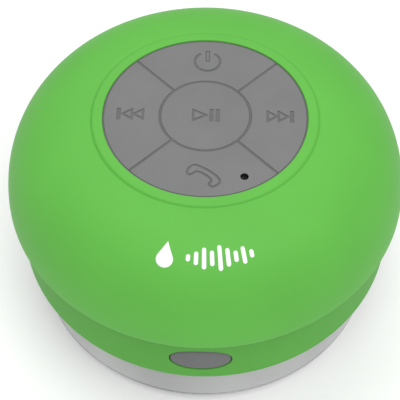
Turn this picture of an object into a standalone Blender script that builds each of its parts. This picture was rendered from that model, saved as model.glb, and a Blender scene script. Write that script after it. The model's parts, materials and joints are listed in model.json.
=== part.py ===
"""A round shower speaker, built as the separate pieces it comes apart into.

Frame: metres, +Z up, origin at the centre of the suction cup's lip, front (charging port) at -Y.
"""

import math

import bmesh
import bpy
from mathutils import Matrix, Vector

MM = 0.001

# Driving dimensions
SPEAKER_RADIUS = 43.0 * MM  # the dome's equator
SPEAKER_HEIGHT = 54.0 * MM  # cup lip to the top of the bezel
EQUATOR_Z = 33.3 * MM
GAP = 0.3 * MM  # clearance between neighbouring pieces
KEYPAD_RADIUS = 21.2 * MM
OPENING_RADIUS = 21.3 * MM  # inside of the bezel
KEY_CIRCLE = 15.2 * MM  # the outer keys' stems stand on it
CENTRE_KEY_RADIUS = 9.4 * MM  # middle of the groove round the centre key
GROOVE = 0.6 * MM  # width of the groove between keys

# Heights of the stack under the keys
KEY_TOP = SPEAKER_HEIGHT - 0.25 * MM
KEY_BOTTOM = 52.8 * MM
WEB_TOP = 52.4 * MM
WEB_FLANGE_TOP = 51.2 * MM
WEB_BOTTOM = 50.3 * MM
FRAME_TOP = 50.0 * MM
FRAME_BOTTOM = 48.8 * MM
BOARD_TOP = 46.2 * MM
BOARD_BOTTOM = 45.0 * MM
STEM_BOTTOM = 49.5 * MM
PLUNGER_TOP = 49.2 * MM

# Radii and angles of the fastenings
BOARD_RADIUS = 28.8 * MM
BOARD_SCREW_CIRCLE = 26.2 * MM
CASE_SCREW_CIRCLE = 33.0 * MM
DRIVER_SCREW_CIRCLE = 25.4 * MM
SCREW_SHAFT = 1.0 * MM
CASE_SCREW_ANGLES = (45, 135, 225, 315)
DRIVER_SCREW_ANGLES = (45, 135, 225, 315)
BOARD_SCREW_ANGLES = (60, 180, 300)

# Lower shell
SHELL_SPLIT = 28.7 * MM  # top of the green ring
RING_TOP_RADIUS = 39.9 * MM
RING_BOTTOM_RADIUS = 41.15 * MM
RING_FOOT_Z = 17.95 * MM  # centre of the rounding at the ring's foot
FLOOR_TOP = 19.4 * MM
BORE_RADIUS = 38.6 * MM  # inside of the upper shell, round the lower shell's tongue

# Each key's name, the place of its stem, and the direction of an outer key from the centre
KEYS = (
    ("power", (0.0, KEY_CIRCLE), 90),
    ("previous", (-KEY_CIRCLE, 0.0), 180),
    ("next", (KEY_CIRCLE, 0.0), 0),
    ("call", (0.0, -KEY_CIRCLE), 270),
    ("play_pause", (0.0, 0.0), None),
)
MICROPHONE_AT = (8.2 * MM, -15.9 * MM)
SOUND_HOLE_RADIUS = 0.85 * MM

# Charging port, on the front
PORT_Z = 23.1 * MM
PORT_WIDTH = 12.8 * MM
PORT_HEIGHT = 5.8 * MM
PORT_FLOOR_Y = -38.9 * MM  # bottom of the recess that the plug sits in
PLUG_BACK_Y = -39.2 * MM
SOCKET_X = 0.6 * MM
TETHER_X = -5.2 * MM

# Suction cup and the stud that screws it in
CUP_RADIUS = 38.15 * MM
CUP_EDGE_Z = 4.0 * MM  # height of the cup's widest edge
CUP_TOP = 15.2 * MM
STUD_RADIUS = 4.0 * MM
BORE_OF_CUP = STUD_RADIUS + GAP

# Segments of turned pieces
ROUND = 40
MEDIUM = 24
SMALL = 12


# ---------------------------------------------------------------- scene and materials


def clear_scene():
    for thing in list(bpy.data.objects):
        bpy.data.objects.remove(thing)


def material(name, colour, roughness, metallic=0.0):
    made = bpy.data.materials.new(name)
    made.use_nodes = True
    shader = made.node_tree.nodes["Principled BSDF"]
    shader.inputs["Base Color"].default_value = (*colour, 1.0)
    shader.inputs["Roughness"].default_value = roughness
    shader.inputs["Metallic"].default_value = metallic
    return made


clear_scene()
GREEN = material("soft_touch_green", (0.16, 0.56, 0.09), 0.55)
GREY_SILICONE = material("grey_silicone", (0.25, 0.25, 0.25), 0.65)
PLUG_RUBBER = material("plug_rubber", (0.16, 0.16, 0.17), 0.6)
CUP_SILICONE = material("cup_silicone", (0.55, 0.56, 0.56), 0.35)
BLACK_PLASTIC = material("black_plastic", (0.02, 0.02, 0.022), 0.45)
BLACK_RUBBER = material("black_rubber", (0.015, 0.015, 0.016), 0.7)
BOARD_GREEN = material("circuit_board", (0.01, 0.12, 0.05), 0.4)
STEEL = material("steel", (0.55, 0.56, 0.58), 0.3, 1.0)
FERRITE = material("ferrite", (0.05, 0.05, 0.055), 0.6)
PAPER = material("black_paper", (0.03, 0.03, 0.03), 0.85)
COPPER = material("copper_coil", (0.60, 0.28, 0.12), 0.35, 1.0)
SPIDER_CLOTH = material("spider_cloth", (0.45, 0.28, 0.10), 0.9)
FOAM = material("foam", (0.06, 0.06, 0.065), 0.95)
FOIL = material("battery_foil", (0.62, 0.63, 0.65), 0.3, 0.9)
WIRE_RED = material("wire_red", (0.5, 0.02, 0.02), 0.5)
WIRE_BLACK = material("wire_black", (0.02, 0.02, 0.02), 0.5)


# ---------------------------------------------------------------- outlines


def arc(centre, radius, start, end, steps):
    """Points on a circle from start to end, in degrees."""
    points = []
    for step in range(steps + 1):
        angle = math.radians(start + (end - start) * step / steps)
        points.append((centre[0] + radius * math.cos(angle), centre[1] + radius * math.sin(angle)))
    return points


def bezier(ends, steps):
    """Points on the cubic curve with these four control points."""
    points = []
    for step in range(steps + 1):
        t = step / steps
        weights = ((1 - t) ** 3, 3 * t * (1 - t) ** 2, 3 * t * t * (1 - t), t**3)
        points.append(tuple(sum(w * p[axis] for w, p in zip(weights, ends)) for axis in (0, 1)))
    return points


def in_mm(*pairs):
    """Turns (radius, height) pairs written in millimetres into metres."""
    return [(r * MM, z * MM) for r, z in pairs]


def stadium(width, height, centre=(0.0, 0.0), steps=6):
    """A slot's outline with round ends, counter-clockwise."""
    half = width / 2 - height / 2
    right = arc((centre[0] + half, centre[1]), height / 2, -90, 90, steps)
    left = arc((centre[0] - half, centre[1]), height / 2, 90, 270, steps)
    return right + left


def oval(width, height, centre, steps=28, squareness=2.2):
    """A slightly squared ellipse, counter-clockwise."""
    points = []
    for x, z in arc((0, 0), 1, 0, 360 - 360 / steps, steps - 1):
        across = math.copysign(abs(x) ** (2 / squareness), x) * width / 2
        up = math.copysign(abs(z) ** (2 / squareness), z) * height / 2
        points.append((centre[0] + across, centre[1] + up))
    return points


def sector(inner, outer, middle, spread, inset, steps):
    """Outline of a ring's sector, its straight sides moved in by inset."""
    points = []
    for radius, way in ((outer, 1), (inner, -1)):
        turn = spread / 2 - math.degrees(math.asin(inset / radius))
        points += arc((0, 0), radius, middle - way * turn, middle + way * turn, steps)
    return points


def around(radius, degrees):
    angle = math.radians(degrees)
    return radius * math.cos(angle), radius * math.sin(angle)


# ---------------------------------------------------------------- solids


def add_object(name, mesh, look, smooth=35):
    made = bpy.data.objects.new(name, mesh)
    bpy.context.scene.collection.objects.link(made)
    if look:
        mesh.materials.append(look)
    mesh.shade_smooth()
    mesh.set_sharp_from_angle(angle=math.radians(smooth))
    return made


def finish_mesh(name, bm, look, centre=(0, 0, 0)):
    bmesh.ops.remove_doubles(bm, verts=bm.verts, dist=0.0005 * MM)
    bmesh.ops.recalc_face_normals(bm, faces=bm.faces)
    mesh = bpy.data.meshes.new(name)
    bm.to_mesh(mesh)
    bm.free()
    made = add_object(name, mesh, look)
    made.location = centre
    return made


def turned(name, outline, look, segments=MEDIUM, centre=(0, 0, 0)):
    """A closed (radius, height) outline turned round the vertical axis through centre."""
    bm = bmesh.new()
    points = [bm.verts.new((r, 0, z)) for r, z in outline]
    edges = []
    for here, after in zip(points, points[1:] + points[:1]):
        if here.co.x > 0 or after.co.x > 0:
            edges.append(bm.edges.new((here, after)))
    bmesh.ops.spin(bm, geom=points + edges, cent=(0, 0, 0), axis=(0, 0, 1),
                   angle=math.tau, steps=segments, use_merge=True)
    return finish_mesh(name, bm, look, centre)


def disc(name, inner, outer, bottom, top, look, segments=MEDIUM, centre=(0, 0)):
    """A flat ring, or a disc where inner is 0."""
    if not inner:
        return post(name, centre, outer, bottom, top, look, segments)
    outline = [(inner, bottom), (outer, bottom), (outer, top), (inner, top)]
    return turned(name, outline, look, segments, (*centre, 0))


def extruded(name, outline, low, high, look, axis="Z"):
    """An outline drawn in XY and raised along Z, or drawn in XZ and carried along Y."""
    bm = bmesh.new()
    if axis == "Z":
        corners = [bm.verts.new((x, y, low)) for x, y in outline]
        way = Vector((0, 0, high - low))
    else:
        corners = [bm.verts.new((x, low, z)) for x, z in outline]
        way = Vector((0, high - low, 0))
    base = bm.faces.new(corners)
    raised = bmesh.ops.extrude_face_region(bm, geom=[base])
    moved = [item for item in raised["geom"] if isinstance(item, bmesh.types.BMVert)]
    bmesh.ops.translate(bm, verts=moved, vec=way)
    return finish_mesh(name, bm, look)


def block(name, low, high, look):
    """A box between two corners."""
    outline = [(low[0], low[1]), (high[0], low[1]), (high[0], high[1]), (low[0], high[1])]
    return extruded(name, outline, low[2], high[2], look)


def bevelled(thing, width, segments=1, angle=40):
    bevel = thing.modifiers.new("bevel", "BEVEL")
    bevel.width = width
    bevel.segments = segments
    bevel.limit_method = "ANGLE"
    bevel.angle_limit = math.radians(angle)
    return thing


def combine(thing, other, operation):
    """Joins other to thing, or cuts it away, and hides other from renders."""
    change = thing.modifiers.new(other.name, "BOOLEAN")
    change.operation = operation
    change.solver = "EXACT"
    change.object = other
    other.hide_render = True
    other.display_type = "WIRE"
    return thing


def cut(thing, *others):
    for other in others:
        combine(thing, other, "DIFFERENCE")
    return thing


def join(thing, *others):
    for other in others:
        combine(thing, other, "UNION")
    return thing


def post(name, centre, radius, bottom, top, look, segments=SMALL):
    """A round post standing on the vertical through centre."""
    outline = arc(centre, radius, 0, 360 - 360 / segments, segments - 1)
    return extruded(name, outline, bottom, top, look)


def hole(centre, radius, bottom, top, segments=SMALL):
    return post("hole_cutter", centre, radius, bottom, top, None, segments)


def boss(centre, radius, bottom, top, segments=SMALL):
    return post("boss", centre, radius, bottom, top, None, segments)


def boxes_round(name, count, low, high, first=0.0):
    """One cutter made of the same box repeated at equal angles round the axis."""
    bm = bmesh.new()
    size = [h - l for l, h in zip(low, high)]
    middle = [(h + l) / 2 for l, h in zip(low, high)]
    for index in range(count):
        turn = Matrix.Rotation(math.radians(first + 360 * index / count), 4, "Z")
        place = turn @ Matrix.Translation(middle) @ Matrix.Diagonal((*size, 1))
        bmesh.ops.create_cube(bm, size=1, matrix=place)
    return finish_mesh(name, bm, None)


def set_origin(thing, point):
    """Moves the object's origin to point and leaves its shape where it is."""
    shift = Vector(point) - thing.location
    thing.data.transform(Matrix.Translation(-shift))
    thing.location = point
    return thing


def wire(name, route, radius, look):
    """A round wire along a smooth curve through the route's points."""
    curve = bpy.data.curves.new(name, "CURVE")
    curve.dimensions = "3D"
    spline = curve.splines.new("POLY")
    points = smooth_route([Vector(point) * MM for point in route], 5)
    spline.points.add(len(points) - 1)
    for place, point in zip(spline.points, points):
        place.co = (*point, 1)
    curve.bevel_depth = radius
    curve.bevel_resolution = 1
    curve.use_fill_caps = True
    curve.materials.append(look)
    made = bpy.data.objects.new(name, curve)
    bpy.context.scene.collection.objects.link(made)
    return made


def smooth_route(points, steps):
    """A Catmull-Rom curve through the points."""
    ends = [2 * points[0] - points[1], *points, 2 * points[-1] - points[-2]]
    made = [points[0]]
    for a, b, c, d in zip(ends, ends[1:], ends[2:], ends[3:]):
        for step in range(1, steps + 1):
            t = step / steps
            bend = (2 * a - 5 * b + 4 * c - d) * t * t + (3 * b - a - 3 * c + d) * t**3
            made.append((2 * b + (c - a) * t + bend) / 2)
    return made


# ---------------------------------------------------------------- case


def dome_curve(steps=9):
    """The dome's outer line, from the bezel's foot out to the equator."""
    ends = in_mm((24.0, 53.45), (36.4, 52.87), (42.7, 44.1))
    return bezier([*ends, (SPEAKER_RADIUS, EQUATOR_Z)], steps)


def dome_inside(steps=5):
    """The dome's inner line, a wall's thickness inside the outer one, from the bezel outwards."""
    ends = in_mm((24.2, 51.2), (36.0, 50.6), (38.6, 45.2))
    return bezier([*ends, (BORE_RADIUS, 42.0 * MM)], steps)


def make_upper_shell():
    bezel = arc((OPENING_RADIUS + 0.25 * MM, SPEAKER_HEIGHT - 0.25 * MM), 0.25 * MM, 180, 90, 2)
    bezel += arc((23.3 * MM, SPEAKER_HEIGHT - 0.5 * MM), 0.5 * MM, 90, 0, 2)
    rim = SHELL_SPLIT + GAP
    underside = bezier([(SPEAKER_RADIUS, EQUATOR_Z), (SPEAKER_RADIUS, EQUATOR_Z - 1.0 * MM),
                        (42.25 * MM, 31.0 * MM), (40.0 * MM, 29.8 * MM)], 4)[1:]
    outline = bezel + dome_curve() + underside + [(39.9 * MM, rim), (BORE_RADIUS, rim)]
    outline += dome_inside()[::-1]
    outline += [(OPENING_RADIUS, WEB_FLANGE_TOP + GAP)]
    shell = turned("upper_shell", outline, GREEN, ROUND)
    for degrees in CASE_SCREW_ANGLES:
        place = around(CASE_SCREW_CIRCLE, degrees)
        join(shell, boss(place, 2.9 * MM, 24.6 * MM, 48.6 * MM))
        cut(shell, hole(place, SCREW_SHAFT + 0.2 * MM, 24.0 * MM, 34.0 * MM))
    for degrees in BOARD_SCREW_ANGLES:
        place = around(BOARD_SCREW_CIRCLE, degrees)
        join(shell, boss(place, 2.4 * MM, WEB_BOTTOM, 52.4 * MM))
        cut(shell, hole(place, SCREW_SHAFT + 0.2 * MM, WEB_BOTTOM - 1 * MM, 52.2 * MM))
    return shell


def lower_shell_outline():
    foot = arc((RING_BOTTOM_RADIUS - 1.2 * MM, RING_FOOT_Z), 1.2 * MM, 20, -80, 3)
    outline = [(RING_TOP_RADIUS - 0.3 * MM, SHELL_SPLIT)]
    outline += bezier([(RING_TOP_RADIUS, SHELL_SPLIT - 0.3 * MM), (40.1 * MM, 25.5 * MM),
                       (40.6 * MM, 22.0 * MM), (RING_BOTTOM_RADIUS, 18.6 * MM)], 3)
    outline += foot
    outline += in_mm((39.2, 16.7), (39.2, 17.4), (6.2, 17.4), (6.2, 16.6))
    outline += [(BORE_OF_CUP, 16.6 * MM), (BORE_OF_CUP, 21.7 * MM)]
    outline += in_mm((0.0, 21.7), (0.0, 22.7), (6.2, 22.7))
    outline += [(6.2 * MM, FLOOR_TOP), (38.8 * MM, FLOOR_TOP - 0.4 * MM), (37.4 * MM, SHELL_SPLIT)]
    outline += in_mm((36.5, 29.2), (36.5, 31.6), (38.3, 31.6), (38.3, 30.9), (37.3, 30.9))
    outline += in_mm((37.3, 29.6), (38.3, 29.6))
    outline += [(38.3 * MM, SHELL_SPLIT)]
    return outline


def make_lower_shell():
    shell = turned("lower_shell", lower_shell_outline(), GREEN, ROUND)
    join(shell, block("port_housing", (-7.4 * MM, -39.0 * MM, 18.4 * MM),
                      (7.4 * MM, -36.4 * MM, 27.4 * MM), None))
    for low, high in ((-5.2, -3.9), (9.3, 10.6)):
        join(shell, block("board_rail", (low * MM, -35.5 * MM, 18.4 * MM),
                          (high * MM, -29.5 * MM, 20.9 * MM), None))
    for degrees in CASE_SCREW_ANGLES:
        place = around(CASE_SCREW_CIRCLE, degrees)
        join(shell, boss(place, 3.2 * MM, 18.4 * MM, 24.3 * MM))
        cut(shell, hole(place, SCREW_SHAFT + GAP, 16.0 * MM, 26.0 * MM),
            hole(place, 2.4 * MM, 16.0 * MM, 20.6 * MM))
    for degrees in DRIVER_SCREW_ANGLES:
        place = around(DRIVER_SCREW_CIRCLE, degrees)
        join(shell, boss(place, 2.2 * MM, 18.4 * MM, 20.9 * MM, 10))
        cut(shell, hole(place, 0.95 * MM, 18.2 * MM, 22.0 * MM, 10))
    slots = boxes_round("sound_slots", 12, (9.0 * MM, -0.9 * MM, 16.0 * MM),
                        (19.4 * MM, 0.9 * MM, 21.0 * MM))
    recess = extruded("port_recess", oval(PORT_WIDTH + 0.4 * MM, PORT_HEIGHT + 0.4 * MM, (0, PORT_Z)),
                      -44 * MM, PORT_FLOOR_Y, None, "Y")
    mouth = extruded("socket_hole", stadium(9.0 * MM, 3.5 * MM, (SOCKET_X, PORT_Z), 5),
                     -40 * MM, -35 * MM, None, "Y")
    slit = block("tether_hole", (TETHER_X - 0.8 * MM, -40 * MM, PORT_Z - 1.3 * MM),
                 (TETHER_X + 0.8 * MM, -35 * MM, PORT_Z + 1.3 * MM), None)
    return cut(shell, slots, recess, mouth, slit)


def make_shell_seal():
    ring = arc((37.9 * MM, 30.25 * MM), 0.5 * MM, 0, 300, 5)
    return turned("shell_seal", ring, BLACK_RUBBER, ROUND)


# ---------------------------------------------------------------- keypad


def make_keypad_web():
    web = disc("keypad_web", 0, 23.2 * MM, WEB_BOTTOM, WEB_FLANGE_TOP, GREY_SILICONE, 36)
    join(web, boss((0, 0), 20.9 * MM, WEB_BOTTOM + GAP, WEB_TOP, 36))
    for _, place, _ in KEYS:
        cut(web, hole(place, 1.8 * MM, 50.0 * MM, 53.0 * MM))
    return cut(web, hole(MICROPHONE_AT, SOUND_HOLE_RADIUS + 0.25 * MM, 50.0 * MM, 53.0 * MM))


def make_key(name, place, direction):
    inset = GROOVE / 2
    if direction is None:
        outline = arc((0, 0), CENTRE_KEY_RADIUS - inset, 0, 345, 23)
    else:
        outline = sector(CENTRE_KEY_RADIUS + inset, KEYPAD_RADIUS - 0.1 * MM, direction, 90, inset, 7)
    key = extruded(name + "_key", outline, KEY_BOTTOM, KEY_TOP, GREY_SILICONE)
    bevelled(key, 0.2 * MM)
    join(key, boss(place, 1.3 * MM, STEM_BOTTOM, KEY_BOTTOM + 0.3 * MM, 10))
    if name == "call":
        cut(key, hole(MICROPHONE_AT, SOUND_HOLE_RADIUS, 52.0 * MM, 55.0 * MM))
    return set_origin(key, (*place, STEM_BOTTOM))


def make_switch(name, place):
    """A tact switch: its body on the board, and the plunger that the key's stem pushes."""
    x, y = place
    half = 2.6 * MM
    body = block(name + "_switch", (x - half, y - half, BOARD_TOP + 0.1 * MM),
                 (x + half, y + half, 48.3 * MM), BLACK_PLASTIC)
    cut(body, hole(place, 1.5 * MM, 47.0 * MM, 49.0 * MM, 12))
    plunger = disc(name + "_plunger", 0, 1.15 * MM, 47.6 * MM, PLUNGER_TOP, GREY_SILICONE, 12, place)
    return body, plunger


def make_keypad_frame():
    frame = disc("keypad_frame", 0, 28.4 * MM, FRAME_BOTTOM, FRAME_TOP, BLACK_PLASTIC, 32)
    for degrees in BOARD_SCREW_ANGLES:
        place = around(BOARD_SCREW_CIRCLE, degrees)
        join(frame, boss(place, 2.3 * MM, BOARD_TOP + 0.2 * MM, FRAME_BOTTOM + 0.5 * MM))
        cut(frame, hole(place, SCREW_SHAFT + GAP, 45.0 * MM, 51.0 * MM))
    for _, place, _ in KEYS:
        cut(frame, hole(place, 1.9 * MM, 48.0 * MM, 51.0 * MM))
    return cut(frame, hole(MICROPHONE_AT, SOUND_HOLE_RADIUS + 0.5 * MM, 48.0 * MM, 51.0 * MM))


# ---------------------------------------------------------------- electronics


def make_electronics():
    board = disc("main_board", 0, BOARD_RADIUS, BOARD_BOTTOM, BOARD_TOP, BOARD_GREEN, 32)
    for degrees in BOARD_SCREW_ANGLES:
        cut(board, hole(around(BOARD_SCREW_CIRCLE, degrees), SCREW_SHAFT + GAP, 44.0 * MM, 47.0 * MM))
    disc("microphone", 0, 2.0 * MM, BOARD_TOP + 0.1 * MM, 48.0 * MM, BLACK_PLASTIC, 16, MICROPHONE_AT)
    module = block("radio_module", (-6.5 * MM, 13.6 * MM, 42.8 * MM), (6.5 * MM, 23.4 * MM, 44.8 * MM),
                   STEEL)
    bevelled(module, 0.3 * MM)
    block("amplifier_chip", (-2.5 * MM, -20.5 * MM, 43.7 * MM), (2.5 * MM, -15.5 * MM, 44.8 * MM),
          BLACK_PLASTIC)
    battery = block("battery", (-17 * MM, -12 * MM, 39.3 * MM), (17 * MM, 12 * MM, 43.5 * MM), FOIL)
    bevelled(battery, 1.2 * MM, 2)
    block("battery_pad", (-15 * MM, -10 * MM, 43.8 * MM), (15 * MM, 10 * MM, 44.8 * MM), FOAM)
    block("charging_board", (-3.6 * MM, -35.9 * MM, 20.6 * MM), (9.0 * MM, -28.2 * MM, 21.6 * MM),
          BOARD_GREEN)


def make_usb_socket():
    """A steel shell, open to the front, with the contact tongue inside it."""
    half_width = 3.75 * MM
    half_height = 1.3 * MM
    skin = 0.3 * MM
    front = -38.3 * MM
    back = -32.7 * MM
    shell = block("usb_socket", (SOCKET_X - half_width, front, PORT_Z - half_height),
                  (SOCKET_X + half_width, back, PORT_Z + half_height), STEEL)
    mouth = block("socket_mouth", (SOCKET_X - half_width + skin, front - 1 * MM,
                                   PORT_Z - half_height + skin),
                  (SOCKET_X + half_width - skin, back - 0.6 * MM, PORT_Z + half_height - skin), None)
    tongue = block("socket_tongue", (SOCKET_X - 1.8 * MM, front + 0.5 * MM, PORT_Z - 0.3 * MM),
                   (SOCKET_X + 1.8 * MM, back - 0.3 * MM, PORT_Z + 0.3 * MM), None)
    return join(cut(shell, mouth), tongue)


def make_port_plug():
    """The plug's face follows the ring's curve. A strap with a cross-bar keeps it on the case."""
    plug = extruded("port_plug", oval(PORT_WIDTH, PORT_HEIGHT, (0, PORT_Z)), -43 * MM, PLUG_BACK_Y,
                    PLUG_RUBBER, "Y")
    face = turned("plug_face", [(0, 15 * MM), (41.6 * MM, 15 * MM), (39.5 * MM, 32 * MM), (0, 32 * MM)],
                  None, 48)
    combine(plug, face, "INTERSECT")
    nub = extruded("plug_nub", stadium(7.6 * MM, 2.6 * MM, (SOCKET_X, PORT_Z), 4),
                   -39.6 * MM, -38.6 * MM, None, "Y")
    strap = block("plug_strap", (TETHER_X - 0.5 * MM, -39.6 * MM, PORT_Z - 1.0 * MM),
                  (TETHER_X + 0.5 * MM, -30.6 * MM, PORT_Z + 1.0 * MM), None)
    bar = block("plug_bar", (TETHER_X - 0.6 * MM, -31.2 * MM, PORT_Z - 1.9 * MM),
                (TETHER_X + 0.6 * MM, -30.2 * MM, PORT_Z + 1.9 * MM), None)
    join(plug, nub, strap, bar)
    return set_origin(plug, (0, -40.5 * MM, PORT_Z))


# ---------------------------------------------------------------- loudspeaker driver


def make_driver():
    basket_outline = in_mm((23.6, 21.2), (23.6, 22.0), (21.8, 22.0), (18.4, 27.4), (18.2, 29.0),
                           (15.6, 29.0), (14.0, 30.8), (9.0, 30.8), (9.0, 30.0), (13.5, 30.0),
                           (14.4, 28.2), (17.2, 28.2), (17.4, 27.2), (21.0, 21.2))
    basket = turned("driver_basket", basket_outline, BLACK_PLASTIC, 28)
    for degrees in DRIVER_SCREW_ANGLES:
        place = around(DRIVER_SCREW_CIRCLE, degrees)
        join(basket, boss(place, 2.4 * MM, 21.2 * MM, 22.0 * MM))
        cut(basket, hole(place, SCREW_SHAFT + 0.2 * MM, 20.0 * MM, 23.0 * MM, 10))
    windows = boxes_round("basket_windows", 4, (16.5 * MM, -6.5 * MM, 22.8 * MM),
                          (24 * MM, 6.5 * MM, 26.8 * MM))
    cut(basket, windows)
    disc("driver_gasket", 20.5 * MM, 23.0 * MM, 19.7 * MM, 20.5 * MM, FOAM, 32)
    disc("driver_top_plate", 8.1 * MM, 13.0 * MM, 31.0 * MM, 33.0 * MM, STEEL)
    disc("driver_magnet", 9.3 * MM, 12.8 * MM, 33.2 * MM, 36.8 * MM, FERRITE)
    yoke = in_mm((0, 31.2), (6.3, 31.2), (6.3, 37.0), (13.0, 37.0), (13.0, 38.8), (0, 38.8))
    turned("driver_yoke", yoke, STEEL)
    spider = in_mm((7.4, 27.7), (8.6, 27.7), (9.4, 27.3), (10.2, 28.1), (11.0, 27.3), (11.8, 28.1),
                   (12.6, 27.3), (13.4, 27.7), (16.6, 27.7), (16.6, 27.95), (13.3, 27.95))
    spider += in_mm((12.6, 27.65), (11.8, 28.45), (11.0, 27.65), (10.2, 28.45), (9.4, 27.65),
                    (8.6, 27.95), (7.4, 27.95))
    turned("spider", spider, SPIDER_CLOTH)
    roll = arc((19.3 * MM, 21.0 * MM), 1.1 * MM, 180, 0, 4)
    inner_roll = arc((19.3 * MM, 20.75 * MM), 0.8 * MM, 0, 180, 4)
    surround = in_mm((16.8, 20.75), (16.8, 21.0)) + roll + in_mm((23.2, 21.0), (23.2, 20.75)) + inner_roll
    turned("surround", surround, BLACK_RUBBER, 28)
    make_driver_moving()
    block("driver_terminal", (-2.6 * MM, 22.9 * MM, 22.3 * MM), (2.6 * MM, 27.4 * MM, 23.3 * MM),
          BOARD_GREEN)


def make_driver_moving():
    """What the voice coil drives: the cone, its dust cap and the coil itself."""
    turned("cone", in_mm((17.9, 21.3), (18.1, 21.6), (7.6, 27.0), (7.4, 26.55)), PAPER, 32)
    cap = bezier(in_mm((7.5, 25.9), (5.4, 24.9), (2.7, 24.5), (0, 24.5)), 3)
    inside = bezier(in_mm((0, 24.85), (2.7, 24.85), (5.2, 25.2), (7.2, 26.15)), 3)
    turned("dust_cap", cap + inside, PAPER)
    coil = in_mm((6.75, 26.5), (7.05, 26.5), (7.05, 31.0), (7.6, 31.0), (7.6, 34.4), (6.75, 34.4))
    turned("voice_coil", coil, COPPER)


# ---------------------------------------------------------------- suction cup


def make_cup():
    """The lip stands on the ground and is tucked in under the cup's widest edge."""
    edge = arc((CUP_RADIUS - 1 * MM, CUP_EDGE_Z), 1 * MM, -48, 0, 3)
    wall = bezier([(CUP_RADIUS, CUP_EDGE_Z), (CUP_RADIUS, 7.0 * MM), (37.5 * MM, 9.5 * MM),
                   (37.4 * MM, 13.2 * MM)], 3)[1:]
    shoulder = arc((35.8 * MM, 13.3 * MM), 1.6 * MM, 0, 90, 2)
    inside = bezier(in_mm((9.6, 11.7), (22.0, 11.6), (33.5, 9.0), (32.9, 0.35)), 6)
    lip = in_mm((33.2, 0), (34.9, 0))
    outline = [(BORE_OF_CUP, CUP_TOP), (BORE_OF_CUP, 11.7 * MM)] + inside + lip
    outline += edge + wall + shoulder + in_mm((12.0, 15.2))
    return turned("suction_cup", outline, CUP_SILICONE, ROUND)


def make_stud():
    outline = in_mm((0, 9.8), (8.4, 9.8), (9.0, 10.4), (9.0, 11.4))
    outline += [(STUD_RADIUS, 11.4 * MM), (STUD_RADIUS, 20.8 * MM)]
    outline += in_mm((3.5, 21.4), (0, 21.4))
    stud = turned("cup_stud", outline, BLACK_PLASTIC)
    slot = block("coin_slot", (-5.5 * MM, -0.9 * MM, 9.0 * MM), (5.5 * MM, 0.9 * MM, 10.8 * MM), None)
    return cut(stud, slot)


# ---------------------------------------------------------------- fastenings and wires


def make_screw(name, place, head_end, shaft_end, head_radius=1.8 * MM, shaft=SCREW_SHAFT):
    """A screw standing on the vertical through place, its head at head_end."""
    way = 1 if shaft_end > head_end else -1
    neck = head_end + way * 1.4 * MM
    outline = [(0, head_end), (head_radius * 0.8, head_end), (head_radius, head_end + way * 0.5 * MM),
               (head_radius, neck), (shaft, neck), (shaft, shaft_end - way * 0.8 * MM),
               (0, shaft_end)]
    return turned(name, outline, STEEL, 8, (*place, 0))


def make_screws():
    for number, degrees in enumerate(CASE_SCREW_ANGLES, 1):
        place = around(CASE_SCREW_CIRCLE, degrees)
        screw = make_screw(f"case_screw_{number}", place, 18.9 * MM, 33.4 * MM)
        for half_x, half_y in ((1.1 * MM, 0.25 * MM), (0.25 * MM, 1.1 * MM)):
            cut(screw, block("screw_cross", (place[0] - half_x, place[1] - half_y, 18.0 * MM),
                             (place[0] + half_x, place[1] + half_y, 19.6 * MM), None))
    for number, degrees in enumerate(BOARD_SCREW_ANGLES, 1):
        make_screw(f"board_screw_{number}", around(BOARD_SCREW_CIRCLE, degrees), 43.3 * MM, 51.8 * MM)
    for number, degrees in enumerate(DRIVER_SCREW_ANGLES, 1):
        make_screw(f"driver_screw_{number}", around(DRIVER_SCREW_CIRCLE, degrees),
                   23.7 * MM, 18.6 * MM, shaft=0.7 * MM)


def make_wires():
    wire("battery_lead", [(8, -12.6, 41.5), (8, -14.5, 41.3), (8.6, -17, 42.4), (9, -18.5, 44.6)],
         0.7 * MM, WIRE_RED)
    wire("speaker_lead", [(0, 26.4, 23.8), (0, 27.2, 27), (-1.5, 27.6, 34), (-3, 26.6, 40),
                          (-3, 25.9, 44.7)], 0.7 * MM, WIRE_BLACK)
    wire("charging_lead", [(6, -29.6, 22.5), (6.4, -29.4, 27), (7.6, -28, 34), (8, -26.4, 40),
                           (8, -25.8, 44.7)], 0.7 * MM, WIRE_BLACK)


# ---------------------------------------------------------------- assembly


def moving_body(name, pivot, pieces):
    """Parents the pieces to an empty that lies on their joint's axis."""
    empty = bpy.data.objects.new(name, None)
    empty.location = pivot
    bpy.context.scene.collection.objects.link(empty)
    bpy.context.view_layer.update()
    for piece in pieces:
        piece.parent = empty
        piece.matrix_parent_inverse = empty.matrix_world.inverted()


def build():
    make_upper_shell()
    make_lower_shell()
    make_shell_seal()
    make_keypad_web()
    make_keypad_frame()
    for name, place, direction in KEYS:
        key = make_key(name, place, direction)
        plunger = make_switch(name, place)[1]
        moving_body(name + "_key_slide", (*place, STEM_BOTTOM), (key, plunger))
    make_electronics()
    make_usb_socket()
    moving_body("port_plug_slide", (0, -40.5 * MM, PORT_Z), (make_port_plug(),))
    make_driver()
    bpy.context.view_layer.update()
    moving_body("cone_slide", (0, 0, 25 * MM),
                [bpy.data.objects[name] for name in ("cone", "dust_cap", "voice_coil")])
    disc("acoustic_mesh", 6.5 * MM, 20.2 * MM, 19.6 * MM, 19.8 * MM, FOAM, 32)
    washer = disc("cup_washer", BORE_OF_CUP, 6.0 * MM, CUP_TOP + 0.2 * MM, 16.35 * MM, BLACK_RUBBER)
    moving_body("cup_axial_slide", (0, 0, CUP_TOP), (washer,))
    moving_body("cup_turn", (0, 0, 0), (make_cup(), make_stud()))
    make_screws()
    make_wires()


build()
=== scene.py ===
"""Looks for the round shower speaker: fine shells, an engraved keypad, a soft cup and all materials.

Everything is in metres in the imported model's frame: +Z up, front (charging port) at -Y.
"""

import json
import math

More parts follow.
